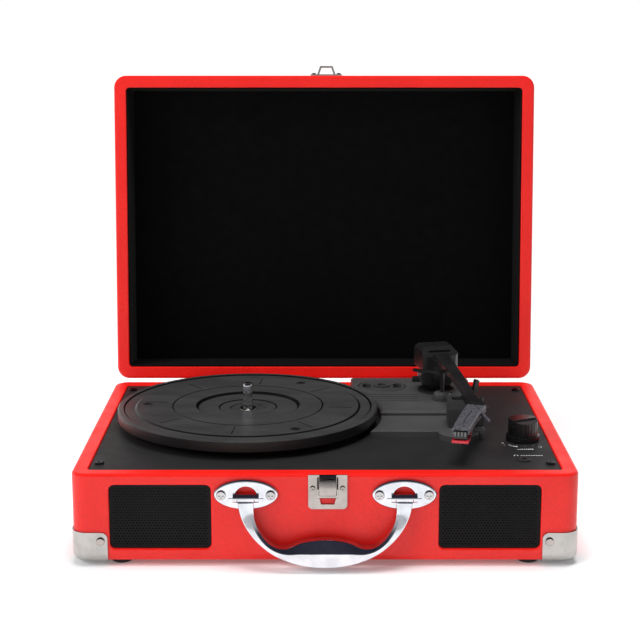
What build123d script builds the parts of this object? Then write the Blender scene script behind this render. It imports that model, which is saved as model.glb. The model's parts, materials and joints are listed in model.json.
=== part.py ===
from build123d import *

import os
from math import acos, atan2, cos, degrees, hypot, radians, sin, sqrt

# Suitcase record player, lid open. Millimetres, +X right, +Y back, +Z up.
# Origin: on the floor, under the middle of the base case.

# ---- driving dimensions -------------------------------------------------------------------
CASE_W, CASE_D = 350.0, 255.0        # outside of the base case
BASE_H = 63.3                        # base case without its feet
FOOT_H = 3.4
WALL_SIDE, WALL_FRONT, WALL_BACK = 10.8, 11.2, 11.7
FLOOR_T = 6.0
UPRIGHT_R, BOTTOM_R, RIM_R = 11.0, 5.5, 2.2   # case edges: upright, bottom, open rim
LID_EDGE_R = 9.0
TOP = FOOT_H + BASE_H                # plane of the base's open rim
FRONT, BACK, SIDE = -CASE_D / 2, CASE_D / 2, CASE_W / 2

LID_D, LID_H, LID_WALL, LID_TOP_T = 254.2, 53.0, 10.0, 5.0
LID_SEAM = 0.4                       # gap between the closed rims
LID_OPEN = 96.1                      # degrees the lid is open at its stop
HINGE_Y, HINGE_Z = BACK + 3.45, TOP - 2.2
HINGE_X, HINGE_LEAF_W = 95.0, 34.0
KNUCKLE_R, HINGE_PIN_R = 3.2, 1.4
LEAF_REACH, LEAF_SCREW = 19.0, 12.0  # from the hinge axis to a leaf's edge and to its screws

DECK_TOP, DECK_T = TOP - 0.8, 2.5    # black panel set just under the rim
DECK_SCREW_X, DECK_SCREW_Y = 158.3, (-100.5, 101.0)

PLATTER_X, PLATTER_Y = -58.7, 6.2    # platter axis
PLATTER_R, PLATTER_TOP = 99.0, TOP + 13.0
SKIRT_H = 8.0
RING_R = 75.0                        # belt runs on this ring under the platter
SPINDLE_R, SPINDLE_TOP = 3.6, PLATTER_TOP + 17.6
SHAFT_R = 3.2                        # spindle below its clip
PULLEY_R, PULLEY_REACH, PULLEY_ANGLE = 2.5, 84.0, 135.0
BELT_T, BELT_GAP = 0.7, 0.1

SHELF_TOP, PLATEAU_TOP = TOP + 4.6, TOP + 8.0   # raised arm platform
PLATFORM_RIGHT, PLATFORM_LEFT = 119.0, 22.0
PLATFORM_FRONT, STEP_Y, PLATFORM_BACK = -36.5, 5.5, 109.5
PLATFORM_WALL = 2.2
GUIDE_R = 6.6                        # boss that the cueing bar slides in
ADAPTER_X, ADAPTER_Y, ADAPTER_R = 46.9, 81.5, 19.0

PIVOT_X, PIVOT_Y = 90.0, 69.5        # tonearm's upright axis
ARM_YAW = 12.4                       # the parked arm points this far to the right of straight ahead
ARM_HINGE_Z = TOP + 34.0             # tonearm's level axis
HOUSING_W = 29.0                     # block over the pivot
LIFTER_REACH, LIFTER_R = 29.0, 1.5   # cueing bar's distance from the pivot
LIFTER_X, LIFTER_Y = 92.7, PIVOT_Y - LIFTER_REACH
CUE_X, CUE_Y, CUE_Z = 114.0, -5.3, TOP + 2.4    # cue lever's hub
CUE_CRANK, CUE_DROP = 4.07, 30.0      # crank under the lifter rod, degrees below level at rest
STYLUS_LOCAL = (-33.5, -171.3)       # needle in the arm's own frame, forward is -Y
STYLUS_Z = TOP + 14.5

KNOB_X, KNOB_Y, KNOB_R, KNOB_H = 146.0, -41.5, 12.35, 16.0
JACK_X, JACK_Y, JACK_R = 141.0, -91.5, 1.8
SWITCH_X, SWITCH_Y, SWITCH_TRAVEL = (76.0, 98.0), 97.5, 8.0

SPEAKER_X, SPEAKER_Z = 113.6, TOP - 30.8
WINDOW_W, WINDOW_H, WINDOW_R = 70.2, 46.0, 4.0

HANDLE_X, HANDLE_Z, HANDLE_Y = 54.3, TOP - 16.0, FRONT - 3.7    # handle pin
BRACKET_Z, BRACKET_SCREW_X = HANDLE_Z + 2.0, 17.0
LATCH_X, LATCH_W, LATCH_H = 1.8, 26.8, 24.4
LATCH_PIN_Y, LATCH_PIN_Z = FRONT - 3.9, TOP - 14.0

RCA_X, RCA_Z, DC_X = (82.0, 98.0), TOP - 37.0, 118.0
PLATE_X = (70.0, 130.0)              # rear socket plate
REAR_SCREW_X = (PLATE_X[0] + 3.6, PLATE_X[1] - 3.6)
ARM_PIVOT = Pos(PIVOT_X, PIVOT_Y, 0) * Rot(0, 0, ARM_YAW)


# ---- small helpers --------------------------------------------------------------------------
def block(x0, x1, y0, y1, z0, z1):
    """Box between two corners."""
    return Pos((x0 + x1) / 2, (y0 + y1) / 2, (z0 + z1) / 2) * Box(x1 - x0, y1 - y0, z1 - z0)


def post(r, z0, z1, x=0.0, y=0.0):
    """Upright cylinder."""
    return Pos(x, y, (z0 + z1) / 2) * Cylinder(r, z1 - z0)


def bar_x(r, x0, x1, y, z):
    """Cylinder along X."""
    return Pos((x0 + x1) / 2, y, z) * Rot(0, 90, 0) * Cylinder(r, x1 - x0)


def bar_y(r, y0, y1, x, z):
    """Cylinder along Y."""
    return Pos(x, (y0 + y1) / 2, z) * Rot(90, 0, 0) * Cylinder(r, y1 - y0)


def slab(sketch, z0, z1):
    """A flat outline raised between two heights."""
    return Pos(0, 0, z0) * extrude(sketch, z1 - z0)


def turned(points):
    """A profile of (radius, height) turned about the Z axis."""
    return revolve(Plane.XZ * make_face(Polyline(*points, close=True)), Axis.Z)


def side_slab(points, x0, x1):
    """A profile of (y, z) points spread along X."""
    return Pos(x0, 0, 0) * extrude(Plane.YZ * make_face(Polyline(*points, close=True)), x1 - x0)


def front_slab(sketch, y0, y1):
    """An outline drawn in (x, z) spread along Y from y0 (front) back to y1."""
    return Pos(0, y1, 0) * extrude(Plane.XZ * sketch, y1 - y0)


def cross_screw(head_r, head_h, shank_r, length):
    """Cross-head screw, head up, underside of the head at Z = 0."""
    head = post(head_r, 0, head_h)
    head = fillet(head.edges().group_by(Axis.Z)[-1], head_h * 0.6)
    slot = Box(head_r * 1.2, head_r * 0.28, head_h)
    cross = Pos(0, 0, head_h) * (slot + Rot(0, 0, 90) * slot)
    return head - cross + post(shank_r, -length, 0)


def save(name, *solids):
    """One STEP file for a node made of one or more solids."""
    shape = solids[0] if len(solids) == 1 else Compound(children=list(solids))
    export_step(shape, f"parts/{name}.step")


# ---- base case ------------------------------------------------------------------------------
def case_block(grow=0.0):
    """Outside of the base case as one solid, grown by a skin thickness."""
    body = block(-SIDE - grow, SIDE + grow, FRONT - grow, BACK + grow, FOOT_H - grow, TOP)
    body = fillet(body.edges().filter_by(Axis.Z), UPRIGHT_R + grow)
    return fillet(body.faces().sort_by(Axis.Z)[0].edges(), BOTTOM_R + grow)


def base_shell():
    body = case_block()
    body = fillet(body.faces().sort_by(Axis.Z)[-1].edges(), RIM_R)
    room = block(-SIDE + WALL_SIDE, SIDE - WALL_SIDE, FRONT + WALL_FRONT, BACK - WALL_BACK,
                 FOOT_H + FLOOR_T, TOP + 1)
    body -= fillet(room.edges().filter_by(Axis.Z), 3.0)
    body = fillet(body.faces().filter_by(Plane.XY).sort_by(Axis.Z)[-1].inner_wires()[0].edges(), 1.0)
    for x in (-SPEAKER_X, SPEAKER_X):
        outline = Pos(x, SPEAKER_Z) * RectangleRounded(WINDOW_W, WINDOW_H, WINDOW_R)
        body -= front_slab(outline, FRONT - 1, FRONT + WALL_FRONT + 1)
    window_edges = [e for e in body.edges()
                    if abs(e.center().Y - FRONT) < 0.01 and abs(e.center().Z - SPEAKER_Z) < WINDOW_H / 2 + 0.1
                    and abs(e.center().X) > SPEAKER_X - WINDOW_W / 2 - 0.1]
    body = fillet(window_edges, 1.2)
    for x in (*RCA_X, DC_X):
        body -= bar_y(7.0, BACK - WALL_BACK - 1, BACK + 1, x, RCA_Z)
    half = SIDE - WALL_SIDE - DECK_SCREW_X
    for x in (-DECK_SCREW_X, DECK_SCREW_X):
        for y in DECK_SCREW_Y:
            body += block(x - half, x + half, y - 8, y + 8, FOOT_H + FLOOR_T - 0.5, DECK_TOP - DECK_T)
            body -= post(1.7, DECK_TOP - 13, TOP, x, y)
    for x, y in board_holes():
        body += post(3.4, FOOT_H + FLOOR_T - 0.5, BOARD_Z, x, y) - post(1.2, BOARD_Z - 5, BOARD_Z + 1, x, y)
    for x in (-HANDLE_X, HANDLE_X):
        for dx in (-BRACKET_SCREW_X, BRACKET_SCREW_X):
            body -= bar_y(1.75, FRONT - 1, FRONT + 7, x + dx, BRACKET_Z)
    for x in REAR_SCREW_X:
        body -= bar_y(1.5, BACK - 7, BACK + 1, x, RCA_Z)
    inside = FRONT + WALL_FRONT
    for x in (-SPEAKER_X, SPEAKER_X):
        for dx, dz in speaker_holes():
            body -= bar_y(1.65, inside - 4.5, inside + 1, x + dx, SPEAKER_Z + dz)
    return body


FOOT_INSET = 13.6
FOOT_X = 142.0


def feet():
    foot = post(7.6, 0, FOOT_H)
    foot = fillet(foot.edges().group_by(Axis.Z)[0], 1.8)
    return [Pos(x, y, 0) * foot for x in (-FOOT_X, FOOT_X) for y in (FRONT + FOOT_INSET, BACK - FOOT_INSET)]


PROTECTOR_W, PROTECTOR_TOP, PROTECTOR_T = 25.8, FOOT_H + 21.4, 1.0
NAIL_REACH, NAIL_Z = 21.0, FOOT_H + 15.3


def corner_protectors():
    """Ball-cornered caps wrapped round the four bottom corners."""
    skin = case_block(PROTECTOR_T) - case_block()
    flap = RectangleRounded(2 * PROTECTOR_W, 2 * PROTECTOR_TOP, 4.5)
    caps = []
    for sx in (-1, 1):
        for y in (FRONT, BACK):
            front_view = front_slab(Pos(sx * (SIDE + PROTECTOR_T), 0) * flap, -SIDE, SIDE)
            side_view = Pos(-SIDE - 9, 0, 0) * extrude(
                Plane.YZ * Pos(y + (PROTECTOR_T if y > 0 else -PROTECTOR_T), 0) * flap, CASE_W + 18)
            caps += (skin & front_view & side_view).solids()
    return caps


def protector_nails():
    """Domed nails, one on each flap of each corner protector."""
    nail = Cylinder(3.0, 1.3, align=(Align.CENTER, Align.CENTER, Align.MIN))
    nail = fillet(nail.edges().group_by(Axis.Z)[-1], 1.1)
    nails = []
    for sx in (-1, 1):
        for sy in (-1, 1):
            nails.append(Pos(sx * (SIDE + PROTECTOR_T - NAIL_REACH), sy * (BACK + PROTECTOR_T), NAIL_Z)
                         * Rot(-90 * sy, 0, 0) * nail)
            nails.append(Pos(sx * (SIDE + PROTECTOR_T), sy * (BACK + PROTECTOR_T - NAIL_REACH), NAIL_Z)
                         * Rot(0, 90 * sx, 0) * nail)
    return nails


def deck_panel():
    panel = block(-SIDE + WALL_SIDE + 0.2, SIDE - WALL_SIDE - 0.2, FRONT + WALL_FRONT + 0.2,
                  BACK - WALL_BACK - 0.2, DECK_TOP - DECK_T, DECK_TOP)
    panel = fillet(panel.edges().filter_by(Axis.Z), 2.8)
    panel = chamfer(panel.faces().sort_by(Axis.Z)[-1].edges(), 0.4)
    low, high = DECK_TOP - DECK_T - 1, DECK_TOP + 1
    motor_x, motor_y = pulley_axis()
    holes = [post(6.0, low, high, PLATTER_X, PLATTER_Y), post(6.5, low, high, motor_x, motor_y),
             post(4.5, low, high, KNOB_X, KNOB_Y), post(4.0, low, high, JACK_X, JACK_Y),
             post(5.0, low, high, PIVOT_X, PIVOT_Y)]
    holes += [post(1.7, low, high, x, y) for x in (-DECK_SCREW_X, DECK_SCREW_X) for y in DECK_SCREW_Y]
    holes += [post(1.95, low, DECK_TOP - 1.4, motor_x + dx, motor_y) for dx in (-23, 23)]
    for hole in holes:
        panel -= hole
    return panel


def deck_screws():
    screw = cross_screw(3.3, 1.5, 1.7, 12.0)
    return [Pos(x, y, DECK_TOP) * screw for x in (-DECK_SCREW_X, DECK_SCREW_X) for y in DECK_SCREW_Y]


# ---- lid --------------------------------------------------------------------------------------
def opened(shape):
    """Turn a piece modelled with the lid closed to the open rest position."""
    return shape.rotate(Axis((0, HINGE_Y, HINGE_Z), (1, 0, 0)), -LID_OPEN)


LID_Z = TOP + LID_SEAM
LID_FRONT = BACK - LID_D


def lid_shell():
    body = block(-SIDE, SIDE, LID_FRONT, BACK, LID_Z, LID_Z + LID_H)
    body = fillet(body.edges().filter_by(Axis.Z), UPRIGHT_R - 1)
    body = fillet(body.faces().sort_by(Axis.Z)[-1].edges(), LID_EDGE_R)
    body = fillet(body.faces().sort_by(Axis.Z)[0].edges(), RIM_R)
    room = block(-SIDE + LID_WALL, SIDE - LID_WALL, LID_FRONT + LID_WALL, BACK - LID_WALL,
                 LID_Z - 1, LID_Z + LID_H - LID_TOP_T)
    body -= fillet(room.edges().filter_by(Axis.Z), 3.0)
    rim = body.faces().filter_by(Plane.XY).sort_by(Axis.Z)[0]
    return fillet(rim.inner_wires()[0].edges(), 1.0)


def lid_lining():
    """Thin black tray glued inside the lid, one millimetre under its rim."""
    skin, low = 1.0, LID_Z + 1.5
    high = LID_Z + LID_H - LID_TOP_T
    tray = block(-SIDE + LID_WALL, SIDE - LID_WALL, LID_FRONT + LID_WALL, BACK - LID_WALL, low, high)
    tray = fillet(tray.edges().filter_by(Axis.Z), 3.0)
    room = block(-SIDE + LID_WALL + skin, SIDE - LID_WALL - skin, LID_FRONT + LID_WALL + skin,
                 BACK - LID_WALL - skin, low - 1, high - skin)
    return tray - fillet(room.edges().filter_by(Axis.Z), 2.0)


CATCH_W, CATCH_H = 26.3, 18.0


def lid_catch():
    """Plate with a raised channel that the latch tongue hooks over."""
    low = LID_Z + 2.6
    left, right = LATCH_X - CATCH_W / 2, LATCH_X + CATCH_W / 2
    plate = block(left, right, LID_FRONT - 1.2, LID_FRONT, low, low + CATCH_H)
    plate = fillet(plate.edges().filter_by(Axis.Y), 2.0)
    hump = make_face(Polyline((-8.0, 0), (-5.2, -8.0), (5.2, -8.0), (8.0, 0), close=True))
    hollow = make_face(Polyline((-6.4, 0.01), (-4.1, -6.6), (4.1, -6.6), (6.4, 0.01), close=True))
    channel = Pos(LATCH_X, LID_FRONT, 0) * (slab(hump, low, low + 7.0) - slab(hollow, low - 1, low + 8.0))
    return plate + channel


def catch_rivets():
    rivet = Cylinder(2.1, 1.6, align=(Align.CENTER, Align.CENTER, Align.MIN))
    rivet = fillet(rivet.edges().group_by(Axis.Z)[-1], 1.2)
    return [Pos(LATCH_X + dx, LID_FRONT - 1.2, LID_Z + 14.0) * Rot(90, 0, 0) * rivet for dx in (-10.4, 10.4)]


def hinge_leaf(on_lid):
    """One leaf with its knuckles: the lid has the middle knuckle, the base the outer two."""
    half, middle, gap = HINGE_LEAF_W / 2, 9.0, 0.3
    if on_lid:
        spans, z0, z1 = [(-middle + gap, middle - gap)], HINGE_Z + 4.0, HINGE_Z + LEAF_REACH
        web_z = (HINGE_Z, HINGE_Z + 4.6)
    else:
        spans, z0, z1 = [(-half, -middle), (middle, half)], HINGE_Z - LEAF_REACH, HINGE_Z - 4.0
        web_z = (HINGE_Z - 4.6, HINGE_Z)
    leaf = block(-half, half, BACK, BACK + 1.4, z0, z1)
    for x0, x1 in spans:
        leaf += block(x0, x1, BACK + 0.25, HINGE_Y, *web_z) + bar_x(KNUCKLE_R, x0, x1, HINGE_Y, HINGE_Z)
    leaf -= bar_x(HINGE_PIN_R + (0.05 if on_lid else 0.0), -half - 1, half + 1, HINGE_Y, HINGE_Z)
    return leaf


def hinge_leaves(on_lid):
    return [Pos(x, 0, 0) * hinge_leaf(on_lid) for x in (-HINGE_X, HINGE_X)]


def hinge_pins():
    return [bar_x(HINGE_PIN_R, x - HINGE_LEAF_W / 2, x + HINGE_LEAF_W / 2, HINGE_Y, HINGE_Z)
            for x in (-HINGE_X, HINGE_X)]


def hinge_screws(height):
    """Screw heads on the leaves at one height, two for each hinge."""
    screw = Rot(-90, 0, 0) * fillet(post(2.8, 0, 1.2).edges().group_by(Axis.Z)[-1], 0.8)
    slot = Box(3.6, 1.6, 0.7)
    screw -= Pos(0, 1.2, 0) * (slot + Rot(0, 90, 0) * slot)
    return [Pos(x + dx, BACK + 1.4, height) * screw for x in (-HINGE_X, HINGE_X) for dx in (-10.0, 10.0)]


# ---- platter and drive --------------------------------------------------------------------------
def pulley_axis():
    a = radians(PULLEY_ANGLE)
    return PLATTER_X + PULLEY_REACH * cos(a), PLATTER_Y + PULLEY_REACH * sin(a)


def platter():
    """Moulded platter: stepped top, skirt, hub and the ring that the belt drives."""
    profile = [(6.0, -9.1), (9.0, -9.1), (9.0, -5.4), (RING_R - 2, -4.4), (RING_R - 2, -9.3), (RING_R, -9.3),
               (RING_R, -4.2), (PLATTER_R - 2.4, -3.6), (PLATTER_R - 2.4, -SKIRT_H), (PLATTER_R, -SKIRT_H),
               (PLATTER_R, -0.9), (PLATTER_R - 0.9, 0), (94.6, 0), (93.6, -0.8), (86.2, -0.8), (84.5, 0),
               (57.6, 0), (57.2, -0.6), (56.8, 0), (39.6, 0), (37.8, -1.7), (22.2, -1.7), (21.7, -2.2),
               (13.8, -2.2), (13.0, -3.2), (6.0, -3.2)]
    body = Pos(PLATTER_X, PLATTER_Y, PLATTER_TOP) * turned(profile)
    groove = block(62, 80, -0.45, 0.45, -0.5, 1)
    for k in range(8):
        clockwise_from_back = 6 + 45 * k
        body -= Pos(PLATTER_X, PLATTER_Y, PLATTER_TOP) * Rot(0, 0, 90 - clockwise_from_back) * groove
    for x, y in pad_places():
        body -= post(PAD_R, PLATTER_TOP - 0.9, PLATTER_TOP + 1, x, y)
    return body


PAD_R, PAD_REACH = 3.8, 77.0


def pad_places():
    for clockwise_from_back in (31, 151, 271):
        a = radians(90 - clockwise_from_back)
        yield PLATTER_X + PAD_REACH * cos(a), PLATTER_Y + PAD_REACH * sin(a)


def platter_pads():
    pad = fillet(post(PAD_R, -0.9, 0.3).edges().group_by(Axis.Z)[-1], 0.3) - post(1.6, -0.2, 1)
    return [Pos(x, y, PLATTER_TOP) * pad for x, y in pad_places()]


def platter_bush():
    return post(6.0, PLATTER_TOP - 9.3, PLATTER_TOP - 3.1, PLATTER_X, PLATTER_Y) - post(
        SHAFT_R + 0.05, 0, SPINDLE_TOP, PLATTER_X, PLATTER_Y)


CLIP_Z = PLATTER_TOP - 2.7


def spindle():
    """Fixed record spindle: a shaft under the clip and the standard pin above it."""
    pin = post(SPINDLE_R, CLIP_Z + 0.8, SPINDLE_TOP)
    pin = fillet(pin.edges().group_by(Axis.Z)[-1], 2.6)
    return Pos(PLATTER_X, PLATTER_Y, 0) * (pin + post(SHAFT_R, DECK_TOP - 10, CLIP_Z + 0.8))


def spindle_clip():
    ring = post(6.0, CLIP_Z, CLIP_Z + 0.8) - post(SHAFT_R, CLIP_Z - 1, CLIP_Z + 2)
    ring -= block(-1.6, 1.6, -7, 0, CLIP_Z - 1, CLIP_Z + 2)
    return Pos(PLATTER_X, PLATTER_Y, 0) * ring


def spindle_housing():
    """Flange and sleeve under the deck that hold the spindle upright."""
    under = DECK_TOP - DECK_T
    body = post(20.0, under - 2.0, under) + post(5.9, under - 8.0, PLATTER_TOP - 9.6)
    body -= post(SHAFT_R, 0, SPINDLE_TOP)
    for k in range(3):
        body -= Rot(0, 0, 120 * k) * post(1.6, 0, SPINDLE_TOP, 14.0)
    return Pos(PLATTER_X, PLATTER_Y, 0) * body


def motor_pulley():
    """Flanged pulley pressed on the motor's shaft."""
    x, y = pulley_axis()
    low, high = DECK_TOP + 3.4, DECK_TOP + 9.2
    body = post(PULLEY_R, low, high) + post(4.2, low, low + 0.9) + post(4.2, high - 0.7, high)
    body += post(1.0, DECK_TOP - 26, high)
    return Pos(x, y, 0) * body


MOTOR_TOP = DECK_TOP - 8.0


def motor():
    x, y = pulley_axis()
    can = fillet(post(17.0, MOTOR_TOP - 22, MOTOR_TOP).edges(), 1.2)
    return Pos(x, y, 0) * (can + post(4.0, MOTOR_TOP, MOTOR_TOP + 2.6) - post(1.05, MOTOR_TOP - 19, TOP))


def motor_bracket():
    """Sheet-steel strap over the motor, hung from the deck on rubber grommets."""
    x, y = pulley_axis()
    strap = slab(RectangleRounded(56, 24, 6), MOTOR_TOP, MOTOR_TOP + 1.2)
    strap -= post(4.0, 0, TOP) + post(2.0, 0, TOP, -23) + post(2.0, 0, TOP, 23)
    return Pos(x, y, 0) * strap


def motor_grommets():
    x, y = pulley_axis()
    ring = post(4.5, MOTOR_TOP + 1.2, DECK_TOP - DECK_T) - post(2.0, 0, TOP)
    return [Pos(x + dx, y, 0) * ring for dx in (-23, 23)]


def motor_screws():
    x, y = pulley_axis()
    screw = Rot(180, 0, 0) * cross_screw(3.4, 1.6, 1.95, 6.5)
    return [Pos(x + dx, y, MOTOR_TOP) * screw for dx in (-23, 23)]


def belt_outline(gap):
    """Area inside a belt that wraps the drive ring and the pulley."""
    big, small = RING_R + gap, PULLEY_R + gap
    spread = acos((big - small) / PULLEY_REACH)
    line = radians(PULLEY_ANGLE)
    x, y = pulley_axis()
    ends = [(PLATTER_X + big * cos(line + s * spread), PLATTER_Y + big * sin(line + s * spread))
            for s in (1, -1)]
    ends += [(x + small * cos(line + s * spread), y + small * sin(line + s * spread)) for s in (-1, 1)]
    wedge = make_face(Polyline(*ends, close=True))
    return wedge + Pos(PLATTER_X, PLATTER_Y) * Circle(big) + Pos(x, y) * Circle(small)


def drive_belt():
    low, high = DECK_TOP + 4.8, DECK_TOP + 8.0
    return slab(belt_outline(BELT_GAP + BELT_T), low, high) - slab(belt_outline(BELT_GAP), low - 1, high + 1)


# ---- raised platform, arm rest, cueing --------------------------------------------------------------
BOSS_X, BOSS_Y, BOSS_R = 99.6, -36.0, 15.5
PLATTER_CLEAR = 102.0


def platform_outline(inset=0.0, front=PLATFORM_FRONT):
    """Plan of the platform from the given front line back, with the arc cut round the platter."""
    right, back = PLATFORM_RIGHT - inset, PLATFORM_BACK - inset
    left, reach = PLATFORM_LEFT + inset, PLATTER_CLEAR + inset
    corner_y = PLATTER_Y + sqrt(reach**2 - (left - PLATTER_X) ** 2)
    front_x = PLATTER_X + sqrt(reach**2 - (front + inset - PLATTER_Y) ** 2)
    mid = (atan2(corner_y - PLATTER_Y, left - PLATTER_X)
           + atan2(front + inset - PLATTER_Y, front_x - PLATTER_X)) / 2
    bulge = (PLATTER_X + reach * cos(mid), PLATTER_Y + reach * sin(mid))
    path = [Line((front_x, front + inset), (right, front + inset)),
            Line((right, front + inset), (right, back)),
            Line((right, back), (left, back)), Line((left, back), (left, corner_y)),
            ThreePointArc((left, corner_y), bulge, (front_x, front + inset))]
    return make_face(path)


def rotated_slot(width, reach_back, reach_out, z0, z1):
    """Slot that the cue lever swings in, square to its shaft."""
    slot = block(-reach_back, reach_out, -width / 2, width / 2, z0, z1)
    return Pos(CUE_X, CUE_Y, 0) * Rot(0, 0, cue_heading()) * slot


def arm_platform():
    shelf = slab(platform_outline(), DECK_TOP, SHELF_TOP)
    shelf += post(BOSS_R, DECK_TOP, SHELF_TOP, BOSS_X, BOSS_Y)
    shelf = chamfer(shelf.faces().sort_by(Axis.Z)[-1].edges(), 0.8)
    plateau = slab(platform_outline(front=STEP_Y), DECK_TOP, PLATEAU_TOP)
    plateau = chamfer(plateau.faces().sort_by(Axis.Z)[-1].edges(), 1.6)
    pad = fillet(block(104.0, PLATFORM_RIGHT - 0.01, -14.0, STEP_Y + 3, DECK_TOP, PLATEAU_TOP)
                 .edges().filter_by(Axis.Z), 1.5)
    foot = block(110.8, PLATFORM_RIGHT - 0.01, PLATFORM_FRONT - 3.5, PLATFORM_FRONT + 2.5,
                 DECK_TOP, TOP + 6.0)
    body = shelf + plateau + pad + foot
    inside = PLATFORM_WALL
    body -= slab(platform_outline(inside), DECK_TOP - 1, SHELF_TOP - inside)
    body -= slab(platform_outline(inside, front=STEP_Y), DECK_TOP - 1, PLATEAU_TOP - inside)
    body -= block(104.0 + inside, PLATFORM_RIGHT - inside, -14.0 + inside, STEP_Y + 6, DECK_TOP - 1,
                  PLATEAU_TOP - inside)
    cup = post(ADAPTER_R + 2.4, DECK_TOP, PLATEAU_TOP - 0.01, ADAPTER_X, ADAPTER_Y)
    body += cup - post(ADAPTER_R + 1.0, DECK_TOP - 1, PLATEAU_TOP - 4.6, ADAPTER_X, ADAPTER_Y)
    body -= post(ADAPTER_R + 0.6, PLATEAU_TOP - 3.0, PLATEAU_TOP + 1, ADAPTER_X, ADAPTER_Y)
    body += post(3.3, PLATEAU_TOP - 3.2, PLATEAU_TOP - 0.4, ADAPTER_X, ADAPTER_Y)
    body -= post(6.0, DECK_TOP - 1, PLATEAU_TOP + 1, PIVOT_X, PIVOT_Y)
    guide = fillet(post(GUIDE_R, PLATEAU_TOP, PLATEAU_TOP + 6.2).edges().group_by(Axis.Z)[-1], 2.2)
    body += Pos(LIFTER_X, LIFTER_Y, 0) * (guide + post(GUIDE_R + 1.0, PLATEAU_TOP - 0.5, PLATEAU_TOP + 0.9))
    body -= post(LIFTER_R + 0.06, DECK_TOP, TOP + 20, LIFTER_X, LIFTER_Y)
    for x in SWITCH_X:
        body -= block(x - 3.0, x + SWITCH_TRAVEL + 3.0, SWITCH_Y - 1.6, SWITCH_Y + 1.6,
                      SHELF_TOP, PLATEAU_TOP + 1)
    for y in (36.0, 42.5, 49.0, 55.5):
        body -= block(36.0, 74.0, y - 0.5, y + 0.5, PLATEAU_TOP - 0.5, PLATEAU_TOP + 1)
    body -= rotated_slot(5.0, 3.6, 20.0, DECK_TOP + 0.3, PLATEAU_TOP + 1)
    return body


TOWER = (92.2, 110.5, -29.5, -6.7)    # left, right, front, back
TOWER_FRONT_TOP, TOWER_BACK_TOP = TOP + 19.4, TOP + 24.0


def arm_rest():
    """Tower under the parked arm, sloping with it, and a ledge with a stop post on its right."""
    x0, x1, y0, y1 = TOWER
    body = side_slab([(y0, SHELF_TOP), (y1, SHELF_TOP), (y1, TOWER_BACK_TOP), (y0, TOWER_FRONT_TOP)], x0, x1)
    body = fillet(body.edges().filter_by(Axis.Z), 2.5)
    body = chamfer(body.faces().sort_by(Axis.Z)[-1].edges(), 0.8)
    body -= block(x0 + 3, x1 - 3, y0 + 3, y1 - 3, SHELF_TOP - 1, TOWER_FRONT_TOP - 3.0)
    body -= slab(Pos(x0 + 8.8, y1 - 5.6) * SlotOverall(11.0, 5.0), TOWER_FRONT_TOP + 0.6, TOWER_BACK_TOP + 1)
    body += block(x1 - 3, 118.9, -26.0, -18.5, SHELF_TOP, TOP + 16.0)
    body += ARM_PIVOT * post(1.2, TOP + 14, TOP + 26.5, 6.9, -95.5)
    return body - block(103.8, 119.1, -14.2, 0, SHELF_TOP - 1, PLATEAU_TOP + 0.02)


def arm_base():
    """Round seat and fixed post that the arm turret turns on."""
    body = post(15.0, PLATEAU_TOP, PLATEAU_TOP + 1.6)
    body = chamfer(body.edges().group_by(Axis.Z)[-1], 0.8)
    body += post(5.0, DECK_TOP - 8, PLATEAU_TOP) + post(3.0, PLATEAU_TOP + 1.5, TOP + 21.0)
    body += post(9.0, DECK_TOP - 6, DECK_TOP - DECK_T)
    return Pos(PIVOT_X, PIVOT_Y, 0) * body


def lifter():
    """Rod with a curved bar under the arm."""
    bar = Circle(LIFTER_REACH + 1.3) - Circle(LIFTER_REACH - 1.3)
    wedge = make_face(Polyline((0, 0), (60 * sin(radians(-42)), -60 * cos(radians(-42))), (0, -60),
                               (60 * sin(radians(17)), -60 * cos(radians(17))), close=True))
    curved = Pos(PIVOT_X, PIVOT_Y) * (bar & wedge)
    rod = post(LIFTER_R, CUE_Z - 0.3, TOP + 29.4, LIFTER_X, LIFTER_Y)
    return rod + slab(curved, TOP + 29.0, TOP + 31.2)


def cue_heading():
    """Direction, in degrees, that the lever tips over towards, square to its shaft."""
    reach = hypot(LIFTER_X - CUE_X, LIFTER_Y - CUE_Y)
    line = degrees(atan2(LIFTER_Y - CUE_Y, LIFTER_X - CUE_X))
    return line - degrees(acos(-CUE_CRANK * cos(radians(CUE_DROP)) / reach))


def cue_lever():
    """Finger lever, its shaft under the platform and the crank that lifts the rod."""
    along = sqrt((LIFTER_X - CUE_X) ** 2 + (LIFTER_Y - CUE_Y) ** 2
                 - (CUE_CRANK * cos(radians(CUE_DROP))) ** 2)
    hub = Rot(90, 0, 0) * Cylinder(2.9, 4.0)
    stem = extrude(Plane.XZ * make_face(Polyline((-1.7, 1), (1.7, 1), (1.2, 27), (2.6, 32.6), (-0.4, 33.4),
                                                 (-1.6, 27), close=True)), 1.9, both=True)
    shaft = Pos(0, along / 2 + 1.0, 0) * Rot(90, 0, 0) * Cylinder(1.5, along + 4)
    crank = Pos(-CUE_CRANK / 2, 0, 0) * Box(CUE_CRANK, 2.4, 0.8)
    crank += Pos(-CUE_CRANK, 0, 0) * Rot(90, 0, 0) * Cylinder(0.6, 2.4)
    body = hub + stem + shaft + Pos(0, along, 0) * Rot(0, -CUE_DROP, 0) * crank
    return Pos(CUE_X, CUE_Y, CUE_Z) * Rot(0, 0, cue_heading()) * body


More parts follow.
